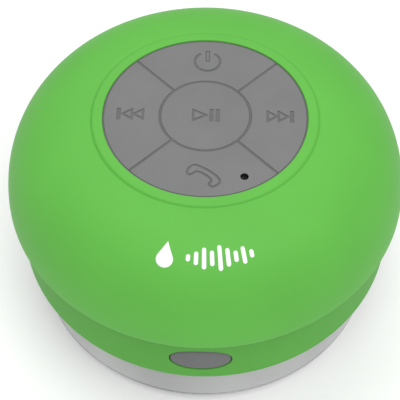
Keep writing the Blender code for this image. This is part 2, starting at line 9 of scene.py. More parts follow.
import bmesh
import bpy
from mathutils import Matrix, Vector


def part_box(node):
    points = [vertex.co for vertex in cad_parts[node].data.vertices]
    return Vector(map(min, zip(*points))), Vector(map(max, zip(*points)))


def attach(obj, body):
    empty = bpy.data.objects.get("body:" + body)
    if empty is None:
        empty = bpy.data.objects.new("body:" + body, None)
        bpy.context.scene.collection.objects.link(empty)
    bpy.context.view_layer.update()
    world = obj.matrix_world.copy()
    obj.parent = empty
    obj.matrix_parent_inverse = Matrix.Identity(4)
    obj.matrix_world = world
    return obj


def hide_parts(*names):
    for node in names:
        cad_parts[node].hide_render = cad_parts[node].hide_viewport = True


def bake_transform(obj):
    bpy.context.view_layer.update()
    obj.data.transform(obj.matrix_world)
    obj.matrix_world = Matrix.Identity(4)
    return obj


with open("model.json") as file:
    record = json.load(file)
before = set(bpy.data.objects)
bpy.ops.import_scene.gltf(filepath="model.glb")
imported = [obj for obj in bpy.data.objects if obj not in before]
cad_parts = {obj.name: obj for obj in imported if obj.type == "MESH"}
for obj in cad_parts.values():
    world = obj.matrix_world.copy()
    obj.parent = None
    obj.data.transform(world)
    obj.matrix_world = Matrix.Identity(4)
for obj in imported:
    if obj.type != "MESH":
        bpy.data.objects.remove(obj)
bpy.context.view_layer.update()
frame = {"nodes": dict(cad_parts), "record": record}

MM = 0.001
NODES = frame["nodes"]

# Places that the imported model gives
WEB_LOW, WEB_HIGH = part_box("keypad_web")
CENTRE_LOW, CENTRE_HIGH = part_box("play_pause_key")
PLUG_LOW, PLUG_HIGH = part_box("port_plug")
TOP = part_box("upper_shell")[1].z
CUP_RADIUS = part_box("suction_cup")[1].x
KEYPAD_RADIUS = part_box("power_key")[1].y
KEY_TOP = CENTRE_HIGH.z
KEY_THICKNESS = 0.95 * MM
KEY_BOTTOM = KEY_TOP - KEY_THICKNESS
STEM_BOTTOM = CENTRE_LOW.z
PORT_Z = (PLUG_LOW.z + PLUG_HIGH.z) / 2
PORT_WIDTH = PLUG_HIGH.x - PLUG_LOW.x
PORT_HEIGHT = PLUG_HIGH.z - PLUG_LOW.z
PLUG_GAP = 0.2 * MM  # between the plug and its recess

# Case, with the radii of its screw circles and the angles of the screws on them
EQUATOR = (43.0, 33.3)  # the dome's widest point, in mm
CASE_SCREW_CIRCLE = 33.0 * MM
DRIVER_SCREW_CIRCLE = 25.4 * MM
SCREW_ANGLES = (45, 135, 225, 315)
BOARD_SCREW_CIRCLE = 26.2 * MM
BOARD_SCREW_ANGLES = (60, 180, 300)
POST_FOOT = 18.4 * MM  # within the lower shell's floor, which the posts grow from
SOUND_SLOTS = 12
MARK_RADIUS = 33.8 * MM  # distance of the printed mark's middle from the axis

# Keypad layout
OPENING_RADIUS = 21.3 * MM  # inside of the bezel
CENTRE_GROOVE = 9.4 * MM  # radius of the groove round the centre key
GROOVE = 0.5 * MM
GROOVE_DEPTH = 0.12 * MM
ICON_DEPTH = 0.13 * MM
ICON_LINE = 0.52 * MM
KEY_CIRCLE = 15.2 * MM  # radius of the outer keys' stems
STEM_RADIUS = 1.3 * MM
STEM_HOLE = 1.8 * MM
MICROPHONE = (8.2 * MM, -15.9 * MM)
SOUND_HOLE = 0.85 * MM
WEB_CUT = (50 * MM, 53 * MM)  # from under the silicone sheet to over it
CAP_CUT = (52 * MM, 55 * MM)  # from under the key caps to over them
ICON_CUT = (KEY_TOP - ICON_DEPTH, KEY_TOP + 1 * MM)
KEY_ANGLES = {"power": 90, "previous": 180, "next": 0, "call": 270}

# Camera: the height where its line of sight crosses the vertical axis, and how it stands
SIGHT_HEIGHT = 28.74 * MM
DISTANCE = 276.03 * MM
ELEVATION = 52.65
TURN = 1.4
LENS = 111.47
SHIFT = (-0.0131, -0.0286)

FINE = 192  # segments of the large turned surfaces


# ---------------------------------------------------------------- outlines


def arc(centre, radius, start, end, steps):
    """Points on a circle from start to end, in degrees."""
    points = []
    for step in range(steps + 1):
        angle = math.radians(start + (end - start) * step / steps)
        points.append((centre[0] + radius * math.cos(angle), centre[1] + radius * math.sin(angle)))
    return points


def bezier(ends, steps):
    """Points on the cubic curve with these four control points."""
    points = []
    for step in range(steps + 1):
        t = step / steps
        weights = ((1 - t) ** 3, 3 * t * (1 - t) ** 2, 3 * t * t * (1 - t), t**3)
        points.append(tuple(sum(w * p[axis] for w, p in zip(weights, ends)) for axis in (0, 1)))
    return points


def in_mm(*pairs):
    """Points given in millimetres, in metres."""
    return [(a * MM, b * MM) for a, b in pairs]


def stadium(width, height, centre=(0.0, 0.0), steps=12):
    """A slot with round ends, counter-clockwise."""
    half = width / 2 - height / 2
    right = arc((centre[0] + half, centre[1]), height / 2, -90, 90, steps)
    left = arc((centre[0] - half, centre[1]), height / 2, 90, 270, steps)
    return right + left


def oval(width, height, centre=(0.0, 0.0), steps=72, squareness=2.2):
    """A slightly squared ellipse, counter-clockwise."""
    points = []
    for x, z in arc((0, 0), 1, 0, 360 - 360 / steps, steps - 1):
        across = math.copysign(abs(x) ** (2 / squareness), x) * width / 2
        up = math.copysign(abs(z) ** (2 / squareness), z) * height / 2
        points.append((centre[0] + across, centre[1] + up))
    return points


def around(radius, degrees):
    """The point at this radius and angle about the axis."""
    angle = math.radians(degrees)
    return radius * math.cos(angle), radius * math.sin(angle)


def round_corners(points, radius, steps=4):
    """Replaces each corner of a closed outline with a short quadratic curve."""
    made = []
    count = len(points)
    for index in range(count):
        before, here, after = (Vector(points[(index + k) % count]) for k in (-1, 0, 1))
        start = here + (before - here).normalized() * min(radius, (before - here).length * 0.45)
        end = here + (after - here).normalized() * min(radius, (after - here).length * 0.45)
        for step in range(steps + 1):
            t = step / steps
            made.append(tuple(start * (1 - t) ** 2 + here * 2 * t * (1 - t) + end * t * t))
    return made


def grown(points, distance):
    """A convex counter-clockwise outline with its sides moved out by distance."""
    made = []
    count = len(points)
    for index in range(count):
        before, here, after = (Vector(points[(index + k) % count]) for k in (-1, 0, 1))
        one, two = (here - before).normalized(), (after - here).normalized()
        normal = Vector((one.y + two.y, -one.x - two.x)).normalized()
        made.append(tuple(here + normal * distance / normal.dot(Vector((one.y, -one.x)))))
    return made


def smooth_loop(points, steps=6):
    """A closed Catmull-Rom curve through the points."""
    made = []
    count = len(points)
    for index in range(count):
        a, b, c, d = (Vector(points[(index + k) % count]) for k in (-1, 0, 1, 2))
        for step in range(steps):
            t = step / steps
            bend = (2 * a - 5 * b + 4 * c - d) * t * t + (3 * b - a - 3 * c + d) * t**3
            made.append(tuple((2 * b + (c - a) * t + bend) / 2))
    return made


# ---------------------------------------------------------------- meshes


def object_from(name, bm, merge=0.0005 * MM):
    """A new object from bm, its points closer than merge joined and its faces pointing out."""
    if merge:
        bmesh.ops.remove_doubles(bm, verts=bm.verts, dist=merge)
    bmesh.ops.recalc_face_normals(bm, faces=bm.faces)
    mesh = bpy.data.meshes.new(name)
    bm.to_mesh(mesh)
    bm.free()
    made = bpy.data.objects.new(name, mesh)
    bpy.context.scene.collection.objects.link(made)
    return made


def shade(thing, angle=32):
    thing.data.shade_smooth()
    thing.data.set_sharp_from_angle(angle=math.radians(angle))
    return thing


def turned(name, outline, segments=FINE):
    """A closed (radius, height) outline turned round the vertical axis."""
    bm = bmesh.new()
    points = [bm.verts.new((r, 0, z)) for r, z in outline]
    edges = []
    for here, after in zip(points, points[1:] + points[:1]):
        if here.co.x > 0 or after.co.x > 0:
            edges.append(bm.edges.new((here, after)))
    bmesh.ops.spin(bm, geom=points + edges, cent=(0, 0, 0), axis=(0, 0, 1),
                   angle=math.tau, steps=segments, use_merge=True)
    return object_from(name, bm)


def prism_into(bm, outline, low, high, axis="Z", index=0):
    """Adds an extruded outline to bm."""
    if axis == "Z":
        corners = [bm.verts.new((x, y, low)) for x, y in outline]
        way = Vector((0, 0, high - low))
    else:
        corners = [bm.verts.new((x, low, z)) for x, z in outline]
        way = Vector((0, high - low, 0))
    base = bm.faces.new(corners)
    raised = bmesh.ops.extrude_face_region(bm, geom=[base])
    moved = [item for item in raised["geom"] if isinstance(item, bmesh.types.BMVert)]
    bmesh.ops.translate(bm, verts=moved, vec=way)
    for face in bm.faces:
        face.material_index = index


def prism(name, outline, low, high, axis="Z"):
    bm = bmesh.new()
    prism_into(bm, outline, low, high, axis)
    return object_from(name, bm, 0)


def cylinders(name, rows, segments=32):
    """One mesh of separate upright posts, from (x, y, radius, bottom, top) rows."""
    bm = bmesh.new()
    for x, y, radius, bottom, top in rows:
        prism_into(bm, arc((x, y), radius, 0, 360 - 360 / segments, segments - 1), bottom, top)
    return object_from(name, bm, 0)


def groove_into(bm, outer, inner, low, high):
    """Adds the ring between two outlines of equally many points, as a cutter for an engraved line."""
    outer_low, outer_high, inner_low, inner_high = (
        [bm.verts.new((*point, z)) for point in side] for side in (outer, inner) for z in (low, high))
    for index in range(len(outer)):
        after = (index + 1) % len(outer)
        for a, b in ((outer_low, outer_high), (outer_high, inner_high),
                     (inner_high, inner_low), (inner_low, outer_low)):
            face = bm.faces.new((a[index], a[after], b[after], b[index]))
            # Index 1 gives the cut faces the darker grey: painted shade in the engraved line.
            face.material_index = 1


def ribbon(points, width):
    """The two sides of a line of this width round a smooth closed curve."""
    outer, inner = [], []
    count = len(points)
    for index in range(count):
        before, here, after = (Vector(points[(index + k) % count]) for k in (-1, 0, 1))
        along = (after - before).normalized()
        across = Vector((along.y, -along.x)) * width / 2
        outer.append(tuple(here + across))
        inner.append(tuple(here - across))
    return outer, inner


def border(points, width, rounding):
    """The two sides of a line of this width along a convex outline, its corners rounded."""
    outer = round_corners(grown(points, width / 2), rounding + width / 2)
    inner = round_corners(grown(points, -width / 2), rounding)
    return outer, inner


def changed(thing, other, operation):
    """Joins other to thing or cuts it away, for good, and removes other."""
    change = thing.modifiers.new("change", "BOOLEAN")
    change.operation = operation
    change.solver = "EXACT"
    change.object = other
    baked(thing)
    bpy.data.objects.remove(other)
    return thing


def baked(thing):
    """Applies the modifiers."""
    graph = bpy.context.evaluated_depsgraph_get()
    mesh = bpy.data.meshes.new_from_object(thing.evaluated_get(graph))
    thing.modifiers.clear()
    old = thing.data
    thing.data = mesh
    bpy.data.meshes.remove(old)
    mesh.name = thing.name
    return thing


def place(thing, body, node, looks):
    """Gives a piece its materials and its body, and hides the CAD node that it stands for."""
    if not thing.data.materials:
        for look in looks:
            thing.data.materials.append(look)
    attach(thing, body)
    if node:
        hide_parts(node)
    return thing


# ---------------------------------------------------------------- materials


def new_material(name):
    made = bpy.data.materials.new(name)
    made.use_nodes = True
    shader = made.node_tree.nodes["Principled BSDF"]
    return made, made.node_tree, shader


def noise(tree, scale, detail=2.0, stretch=None):
    """A noise texture in the object's own space, in metres."""
    where = tree.nodes.new("ShaderNodeTexCoord")
    source = where.outputs["Object"]
    if stretch:
        mapping = tree.nodes.new("ShaderNodeMapping")
        mapping.inputs["Scale"].default_value = stretch
        tree.links.new(source, mapping.inputs["Vector"])
        source = mapping.outputs["Vector"]
    texture = tree.nodes.new("ShaderNodeTexNoise")
    texture.inputs["Scale"].default_value = scale
    texture.inputs["Detail"].default_value = detail
    tree.links.new(source, texture.inputs["Vector"])
    return texture.outputs["Fac"]


def ramp(tree, value, dark, light, low=0.35, high=0.65):
    """Colours running from dark to light as value goes from low to high."""
    made = tree.nodes.new("ShaderNodeValToRGB")
    made.color_ramp.elements[0].position = low
    made.color_ramp.elements[0].color = (*dark, 1)
    made.color_ramp.elements[1].position = high
    made.color_ramp.elements[1].color = (*light, 1)
    tree.links.new(value, made.inputs["Fac"])
    return made.outputs["Color"]


def ranged(tree, value, low, high):
    made = tree.nodes.new("ShaderNodeMapRange")
    made.inputs["From Min"].default_value = 0.3
    made.inputs["From Max"].default_value = 0.7
    made.inputs["To Min"].default_value = low
    made.inputs["To Max"].default_value = high
    tree.links.new(value, made.inputs["Value"])
    return made.outputs["Result"]


def bump(tree, value, height, strength=1.0, under=None):
    made = tree.nodes.new("ShaderNodeBump")
    made.inputs["Distance"].default_value = height
    made.inputs["Strength"].default_value = strength
    tree.links.new(value, made.inputs["Height"])
    if under:
        tree.links.new(under, made.inputs["Normal"])
    return made.outputs["Normal"]


def shade_of(colour, factor):
    return tuple(min(1.0, channel * factor) for channel in colour)


def moulded(name, colour, vary=0.04, rough=(0.5, 0.6), grain=2600, grain_height=0.01 * MM,
            cloud=60, metallic=0.0, stretch=None, constants=()):
    """A moulded or coated surface: slow colour drift, fine grain, and roughness that follows it."""
    made, tree, shader = new_material(name)
    slow = noise(tree, cloud, 3)
    fine = noise(tree, grain, 2, stretch)
    tree.links.new(ramp(tree, slow, shade_of(colour, 1 - vary), shade_of(colour, 1 + vary)),
                   shader.inputs["Base Color"])
    tree.links.new(ranged(tree, fine, *rough), shader.inputs["Roughness"])
    tree.links.new(bump(tree, fine, grain_height), shader.inputs["Normal"])
    shader.inputs["Metallic"].default_value = metallic
    for socket, value in constants:
        shader.inputs[socket].default_value = value
    return made


def woven(name, colour, pitch, height, rough=0.85):
    """Two crossed sets of threads, a pitch apart."""
    made, tree, shader = new_material(name)
    where = tree.nodes.new("ShaderNodeTexCoord")
    total = tree.nodes.new("ShaderNodeMath")
    total.operation = "ADD"
    for index, direction in enumerate(("X", "Y")):
        wave = tree.nodes.new("ShaderNodeTexWave")
        wave.bands_direction = direction
        wave.inputs["Scale"].default_value = 1 / (pitch * 3.2)
        wave.inputs["Distortion"].default_value = 0.4
        wave.inputs["Detail Scale"].default_value = 2.0
        tree.links.new(where.outputs["Object"], wave.inputs["Vector"])
        tree.links.new(wave.outputs["Fac"], total.inputs[index])
    colours = ramp(tree, total.outputs["Value"], shade_of(colour, 0.6), shade_of(colour, 1.25), 0.3, 1.6)
    tree.links.new(colours, shader.inputs["Base Color"])
    tree.links.new(bump(tree, total.outputs["Value"], height), shader.inputs["Normal"])
    shader.inputs["Roughness"].default_value = rough
    return made


def circuit(name):
    """Green solder mask with lighter copper tracks under it."""
    made, tree, shader = new_material(name)
    where = tree.nodes.new("ShaderNodeTexCoord")
    tracks = tree.nodes.new("ShaderNodeTexBrick")
    tracks.inputs["Scale"].default_value = 260
    tracks.inputs["Mortar Size"].default_value = 0.09
    tracks.inputs["Color1"].default_value = (0.008, 0.10, 0.04, 1)
    tracks.inputs["Color2"].default_value = (0.010, 0.13, 0.05, 1)
    tracks.inputs["Mortar"].default_value = (0.05, 0.27, 0.10, 1)
    tree.links.new(where.outputs["Object"], tracks.inputs["Vector"])
    tree.links.new(tracks.outputs["Color"], shader.inputs["Base Color"])
    tree.links.new(bump(tree, tracks.outputs["Fac"], 0.02 * MM), shader.inputs["Normal"])
    tree.links.new(ranged(tree, noise(tree, 900), 0.28, 0.4), shader.inputs["Roughness"])
    return made


def wound(name):
    """Fine turns of enamelled copper round the coil."""
    made, tree, shader = new_material(name)
    where = tree.nodes.new("ShaderNodeTexCoord")
    wave = tree.nodes.new("ShaderNodeTexWave")
    wave.bands_direction = "Z"
    wave.inputs["Scale"].default_value = 1600
    tree.links.new(where.outputs["Object"], wave.inputs["Vector"])
    tree.links.new(ramp(tree, wave.outputs["Fac"], (0.30, 0.11, 0.04), (0.70, 0.33, 0.14), 0.1, 0.8),
                   shader.inputs["Base Color"])
    tree.links.new(bump(tree, wave.outputs["Fac"], 0.03 * MM), shader.inputs["Normal"])
    shader.inputs["Metallic"].default_value = 0.9
    shader.inputs["Roughness"].default_value = 0.32
    return made


def cup_silicone(name):
    """Pale translucent silicone with faint flow streaks round the wall."""
    made, tree, shader = new_material(name)
    streak = noise(tree, 30, 2, (1.0, 1.0, 0.2))
    fine = noise(tree, 500)
    colours = ramp(tree, streak, (0.44, 0.44, 0.445), (0.58, 0.58, 0.585))
    tree.links.new(colours, shader.inputs["Base Color"])
    tree.links.new(ranged(tree, fine, 0.30, 0.36), shader.inputs["Roughness"])
    tree.links.new(bump(tree, fine, 0.003 * MM), shader.inputs["Normal"])
    shader.inputs["Subsurface Weight"].default_value = 0.3
    shader.inputs["Subsurface Radius"].default_value = (1.0, 1.0, 1.0)
    shader.inputs["Subsurface Scale"].default_value = 1.6 * MM
    shader.inputs["Coat Weight"].default_value = 0.15
    shader.inputs["Coat Roughness"].default_value = 0.2
    return made


GREEN = (0.121, 0.466, 0.066)
SILICONE_GREY = (0.184, 0.184, 0.185)
SOFT_TOUCH = (("Sheen Weight", 0.03), ("Sheen Roughness", 0.5), ("Specular IOR Level", 0.18))
LOOKS = {
    "case_green": moulded("case_green", GREEN, 0.025, (0.5, 0.6), 3200, 0.006 * MM, 45,
                          constants=SOFT_TOUCH),
    "keypad_silicone": moulded("keypad_silicone", SILICONE_GREY, 0.03, (0.62, 0.74), 2400, 0.010 * MM, 120,
                               constants=(("Specular IOR Level", 0.3), ("Sheen Weight", 0.08))),
    "plug_rubber": moulded("plug_rubber", (0.147, 0.147, 0.153), 0.05, (0.55, 0.68), 2400, 0.012 * MM),
    "cup_silicone": cup_silicone("cup_silicone"),
    "black_plastic": moulded("black_plastic", (0.02, 0.02, 0.022), 0.15, (0.38, 0.5), 1800, 0.02 * MM),
    "seal_rubber": moulded("seal_rubber", (0.015, 0.015, 0.016), 0.2, (0.55, 0.7), 2200, 0.015 * MM),
    "circuit_board": circuit("circuit_board"),
    "steel": moulded("steel", (0.56, 0.57, 0.59), 0.06, (0.22, 0.36), 900, 0.004 * MM, 300, 1.0,
                     (1.0, 1.0, 12.0)),
    "battery_foil": moulded("battery_foil", (0.62, 0.63, 0.65), 0.05, (0.25, 0.4), 500, 0.03 * MM, 200,
                            0.9),
    "foam": moulded("foam", (0.055, 0.055, 0.06), 0.4, (0.85, 0.95), 3000, 0.12 * MM, 900),
    "ferrite": moulded("ferrite", (0.05, 0.05, 0.055), 0.2, (0.5, 0.65), 1500, 0.02 * MM),
    "copper": wound("copper"),
    "spider_cloth": woven("spider_cloth", (0.45, 0.28, 0.10), 0.45 * MM, 0.08 * MM),
    "cone_paper": moulded("cone_paper", (0.03, 0.03, 0.03), 0.25, (0.75, 0.9), 1300, 0.05 * MM, 500),
    "wire_red": moulded("wire_red", (0.5, 0.02, 0.02), 0.08, (0.4, 0.5), 1500, 0.01 * MM),
    "wire_black": moulded("wire_black", (0.02, 0.02, 0.02), 0.1, (0.4, 0.5), 1500, 0.01 * MM),
}
# The keypad grey darkened by 0.70 for the faces that the icons cut: painted shade in the engraved lines.
ENGRAVED_PAINTED_SHADE = moulded("engraved_silicone_painted_shade", shade_of(SILICONE_GREY, 0.70), 0.05, (0.7, 0.8), 2400,
                   0.01 * MM, 200)
# The keypad grey darkened by 0.66 for the sheet and its ribs: painted shade in the grooves between the
# keys.
SHEET_PAINTED_SHADE = moulded("sheet_silicone_painted_shade", shade_of(SILICONE_GREY, 0.66), 0.05, (0.7, 0.8), 2400, 0.01 * MM, 200)
# The case green darkened by 0.86 for the ring: painted shade under the dome's overhang, a shaded copy of
# the same plastic.
RING_GREEN_PAINTED_SHADE = moulded("ring_green_painted_shade", shade_of(GREEN, 0.86), 0.025, (0.5, 0.6), 3200, 0.006 * MM, 45,
                     constants=SOFT_TOUCH)
PRINT = moulded("white_print", (0.86, 0.88, 0.86), 0.02, (0.4, 0.5), 3000, 0.004 * MM, 300)


# ---------------------------------------------------------------- case


def dome_line(steps=56):
    """The dome's outer line, from the bezel's foot to the equator."""
    return bezier(in_mm((24.8, 53.4), (36.4, 52.87), (42.7, 44.1), EQUATOR), steps)


def dome_section():
    """The closed cross-section of the upper shell's wall, from the bezel round its lower rim."""
    bezel = arc((OPENING_RADIUS + 0.2 * MM, TOP - 0.2 * MM), 0.2 * MM, 180, 90, 6)
    bezel += arc((22.95 * MM, TOP - 0.8 * MM), 0.8 * MM, 90, 30, 8)
    foot = bezier(in_mm((23.66, 53.57), (23.84, 53.26), (24.25, 53.38), (24.8, 53.4)), 8)[:-1]
    underside = bezier(in_mm(EQUATOR, (43.0, 32.3), (42.25, 31.0), (40.1, 29.85)), 16)[1:]
    rim = in_mm((39.95, 29.7), (39.9, 29.15), (39.75, 29.0), (38.75, 29.0), (38.6, 29.15))
    inside = bezier(in_mm((24.2, 51.2), (36.0, 50.6), (38.6, 45.2), (38.6, 42.0)), 24)[::-1]
    ledge = [(22.0 * MM, 51.5 * MM), (OPENING_RADIUS + 0.1 * MM, 51.5 * MM), (OPENING_RADIUS, 51.6 * MM)]
    return bezel + foot + dome_line() + underside + rim + inside + ledge


def circle_of(radius, angles=SCREW_ANGLES):
    """Places on a circle about the axis, such as those of screws."""
    return [around(radius, angle) for angle in angles]


def make_dome():
    """The green dome, with the bosses for the case's and the board's screws."""
    shell = turned("dome_shell", dome_section())
    case, board = circle_of(CASE_SCREW_CIRCLE), circle_of(BOARD_SCREW_CIRCLE, BOARD_SCREW_ANGLES)
    posts = [(x, y, 2.9 * MM, 24.6 * MM, 48.6 * MM) for x, y in case]
    posts += [(x, y, 2.4 * MM, 50.3 * MM, 52.4 * MM) for x, y in board]
    holes = [(x, y, 1.2 * MM, 24.0 * MM, 34.0 * MM) for x, y in case]
    holes += [(x, y, 1.2 * MM, 49.3 * MM, 52.2 * MM) for x, y in board]
    changed(shell, cylinders("posts", posts), "UNION")
    changed(shell, cylinders("pilot_holes", holes), "DIFFERENCE")
    place(shade(shell), "case", "upper_shell", [LOOKS["case_green"]])


def ring_line():
    """The outer line of the green ring, from its top edge to its foot."""
    top = arc((39.6 * MM, 28.4 * MM), 0.3 * MM, 90, 10, 4)
    wall = bezier(in_mm((39.9, 28.35), (40.1, 25.5), (40.6, 22.0), (41.05, 18.6)), 20)[1:]
    foot = arc((39.95 * MM, 17.95 * MM), 1.2 * MM, 24, -80, 12)
    return top + wall + foot


def ring_section():
    """The closed cross-section of the lower shell: wall, floor, stud boss and the seal's tongue."""
    floor = in_mm((39.5, 16.75), (39.3, 16.85), (39.2, 17.4), (6.2, 17.4))
    boss = in_mm((6.2, 16.8), (6.0, 16.6), (4.5, 16.6), (4.3, 16.8), (4.3, 21.7), (0.0, 21.7))
    boss += in_mm((0.0, 22.7), (5.8, 22.7), (6.2, 22.3), (6.2, 19.4))
    inside = in_mm((38.4, 19.2), (38.8, 19.5), (37.4, 28.7), (36.5, 29.2))
    tongue = in_mm((36.5, 31.6), (38.1, 31.6), (38.3, 31.4), (38.3, 30.9), (37.3, 30.9))
    tongue += in_mm((37.3, 29.6), (38.3, 29.6), (38.3, 28.7))
    return ring_line() + floor + boss + inside + tongue


def port_housing():
    """The block behind the charging port and the two rails beside the charging board."""
    solids = bmesh.new()
    block = (-7.4, 7.4, -39.0, -36.4, 27.4)
    rails = [(left, left + 1.3, -35.5, -29.5, 20.9) for left in (-5.2, 9.3)]
    for left, right, front, back, top in [block] + rails:
        corners = in_mm((left, front), (right, front), (right, back), (left, back))
        prism_into(solids, corners, POST_FOOT, top * MM)
    return object_from("port_housing", solids, 0)


def sound_slots():
    """Slots for the sound, pointing away from the axis."""
    slots = bmesh.new()
    slot = stadium(10.4 * MM, 1.8 * MM, (14.2 * MM, 0), 6)
    for index in range(SOUND_SLOTS):
        turn = Matrix.Rotation(math.tau * index / SOUND_SLOTS, 2)
        prism_into(slots, [tuple(turn @ Vector(point)) for point in slot], 16.0 * MM, 21.0 * MM)
    return object_from("sound_slots", slots, 0)


def make_ring():
    """The green ring under the dome, with its pillars, holes, sound slots and charging port."""
    shell = turned("case_ring", ring_section())
    case, driver = circle_of(CASE_SCREW_CIRCLE), circle_of(DRIVER_SCREW_CIRCLE)
    posts = [(x, y, 3.2 * MM, POST_FOOT, 24.3 * MM) for x, y in case]
    posts += [(x, y, 2.2 * MM, POST_FOOT, 20.9 * MM) for x, y in driver]
    holes = [(x, y, 1.3 * MM, 20.0 * MM, 26.0 * MM) for x, y in case]
    holes += [(x, y, 0.95 * MM, 18.2 * MM, 22.0 * MM) for x, y in driver]
    counterbores = [(x, y, 2.4 * MM, 16 * MM, 20.6 * MM) for x, y in case]
    changed(shell, port_housing(), "UNION")
    changed(shell, cylinders("pillars", posts), "UNION")
    changed(shell, cylinders("screw_holes", holes), "DIFFERENCE")
    changed(shell, cylinders("counterbores", counterbores), "DIFFERENCE")
    changed(shell, sound_slots(), "DIFFERENCE")
    recess = oval(PORT_WIDTH + 2 * PLUG_GAP, PORT_HEIGHT + 2 * PLUG_GAP, (0, PORT_Z))
    socket = stadium(9.0 * MM, 3.5 * MM, (0.6 * MM, PORT_Z))
    slit = [(x * MM, PORT_Z + z * MM) for x, z in ((-6.0, -1.3), (-4.4, -1.3), (-4.4, 1.3), (-6.0, 1.3))]
    changed(shell, prism("recess", recess, -44 * MM, -38.9 * MM, "Y"), "DIFFERENCE")
    changed(shell, prism("socket_hole", socket, -40 * MM, -35 * MM, "Y"), "DIFFERENCE")
    changed(shell, prism("tether_hole", slit, -40 * MM, -35 * MM, "Y"), "DIFFERENCE")
    # The ring takes the darker copy of the case green: painted shade under the dome.
    place(shade(shell), "case", "lower_shell", [RING_GREEN_PAINTED_SHADE])


# ---------------------------------------------------------------- printed mark


def dome_point(distance, sideways, lift):
    """A point on the front of the dome: distance down its outer line from the mark's middle."""
    line = dome_line(120)
    here = min(range(len(line)), key=lambda k: abs(line[k][0] - MARK_RADIUS))
    step = 1 if distance >= 0 else -1
    left = abs(distance)
    while 0 < here < len(line) - 1:
        span = math.dist(line[here], line[here + step])
        if span >= left:
            break
        left -= span
        here += step
    start, end = Vector(line[here]), Vector(line[here + step])
    way = (end - start).normalized()
    outwards = Vector((-way.y, way.x)) * step
    spot = start + way * left + outwards * lift
    angle = -math.pi / 2 + sideways / MARK_RADIUS
    return spot.x * math.cos(angle), spot.x * math.sin(angle), spot.y


def printed_shape(bm, middle, low, high, half_width, rows=20, columns=4):
    """A thin raised print on the dome. half_width(run) is its half width at run from the end at low."""
    grids = []
    for lift in (0.025 * MM, -0.05 * MM):
        grid = []
        for row in range(rows + 1):
            run = (high - low) * (1 - math.cos(math.pi * row / rows)) / 2
            half = max(0.03 * MM, half_width(run))
            down = low + run
            line = []
            for column in range(columns + 1):
                side = middle + half * (2 * column / columns - 1)
                line.append(bm.verts.new(dome_point(down, side, lift)))
            grid.append(line)
        grids.append(grid)
    front, back = grids
    for row in range(rows):
        for column in range(columns):
            for grid in grids:
                bm.faces.new((grid[row][column], grid[row][column + 1],
                              grid[row + 1][column + 1], grid[row + 1][column]))
        for column in (0, columns):
            bm.faces.new((front[row][column], front[row + 1][column],
                          back[row + 1][column], back[row][column]))
    for row in (0, rows):
        for column in range(columns):
            bm.faces.new((front[row][column], front[row][column + 1],
                          back[row][column + 1], back[row][column]))


def pill(length, half):
    """Half width of a bar with round ends."""
    def width(run):
        end = min(run, length - run, half)
        return math.sqrt(max(0.0, half**2 - (half - end) ** 2))
    return width


def drop(length, radius):
    """Half width of a water drop: straight sides from its tip that run into a round bottom."""
    centre = length - radius
    tip_angle = math.asin(radius / centre)
    meeting = centre * math.cos(tip_angle) ** 2
    def width(run):
        if run < meeting:
            return run * math.tan(tip_angle)
        return math.sqrt(max(0.0, radius**2 - (run - centre) ** 2))
    return width


def make_mark():
    """A plain water drop and a row of level bars, in place of any lettering."""
    bm = bmesh.new()
    printed_shape(bm, -6.95 * MM, -2.7 * MM, 2.5 * MM, drop(5.2 * MM, 1.65 * MM), 40, 6)
    first, pitch, half = -2.5, 1.55, 0.42 * MM
    for index, height in enumerate((1.4, 2.6, 4.2, 3.0, 5.0, 3.6, 2.2, 3.4, 1.6)):
        length = height * MM
        printed_shape(bm, (first + pitch * index) * MM, -length / 2, length / 2, pill(length, half), 24)
    mark = object_from("printed_mark", bm)
    place(shade(mark, 60), "case", None, [PRINT])


# ---------------------------------------------------------------- keypad


def sector(middle):
    """Outline of an outer key, its sides parallel to the grooves."""
    points = []
    for radius, way, steps in ((KEYPAD_RADIUS, 1, 30), (CENTRE_GROOVE + GROOVE / 2, -1, 18)):
        turn = 45 - math.degrees(math.asin(GROOVE / 2 / radius))
        points += arc((0, 0), radius, middle - way * turn, middle + way * turn, steps)
    return points


def power_icon():
    """An open ring, cut as one solid line, and an outlined bar in its gap."""
    centre, radius, half = (0.12 * MM, 15.1 * MM), 2.7 * MM, 0.28 * MM
    start, end = 128, 412
    first, last = ([c + p for c, p in zip(centre, around(radius, angle))] for angle in (start, end))
    ring = arc(centre, radius + half, start, end, 48) + arc(last, half, end, end + 180, 8)[1:-1]
    ring += arc(centre, radius - half, end, start, 48)
    ring += arc(first, half, start + 180, start + 360, 8)[1:-1]
    bar = in_mm((-0.2, 15.3), (0.5, 15.3), (0.5, 18.1), (-0.2, 18.1))
    return [(ring, None), border(bar, 0.3 * MM, 0.1 * MM)]


def bar_icon(left, right, half):
    """A bar, cut as one solid line."""
    return round_corners(in_mm((left, -half), (right, -half), (right, half), (left, half)), 0.06 * MM), None


def triangle_icon(base, tip, half):
    """An outlined triangle that points from its base to its tip."""
    way = 1 if tip > base else -1
    return border(in_mm((base, -half * way), (tip, 0.0), (base, half * way)), ICON_LINE, 0.1 * MM)


def play_icon():
    """A triangle and two bars."""
    return [triangle_icon(-2.5, 0.15, 1.4), bar_icon(0.85, 1.7, 1.7), bar_icon(2.15, 3.0, 1.7)]


def skip_icon(way):
    """Two triangles and a bar, pointing away from the centre."""
    bar = sorted((17.5 * way, 18.4 * way))
    return [triangle_icon(12.9 * way, 14.85 * way, 1.3), triangle_icon(15.2 * way, 17.1 * way, 1.3),
            bar_icon(*bar, 1.6)]


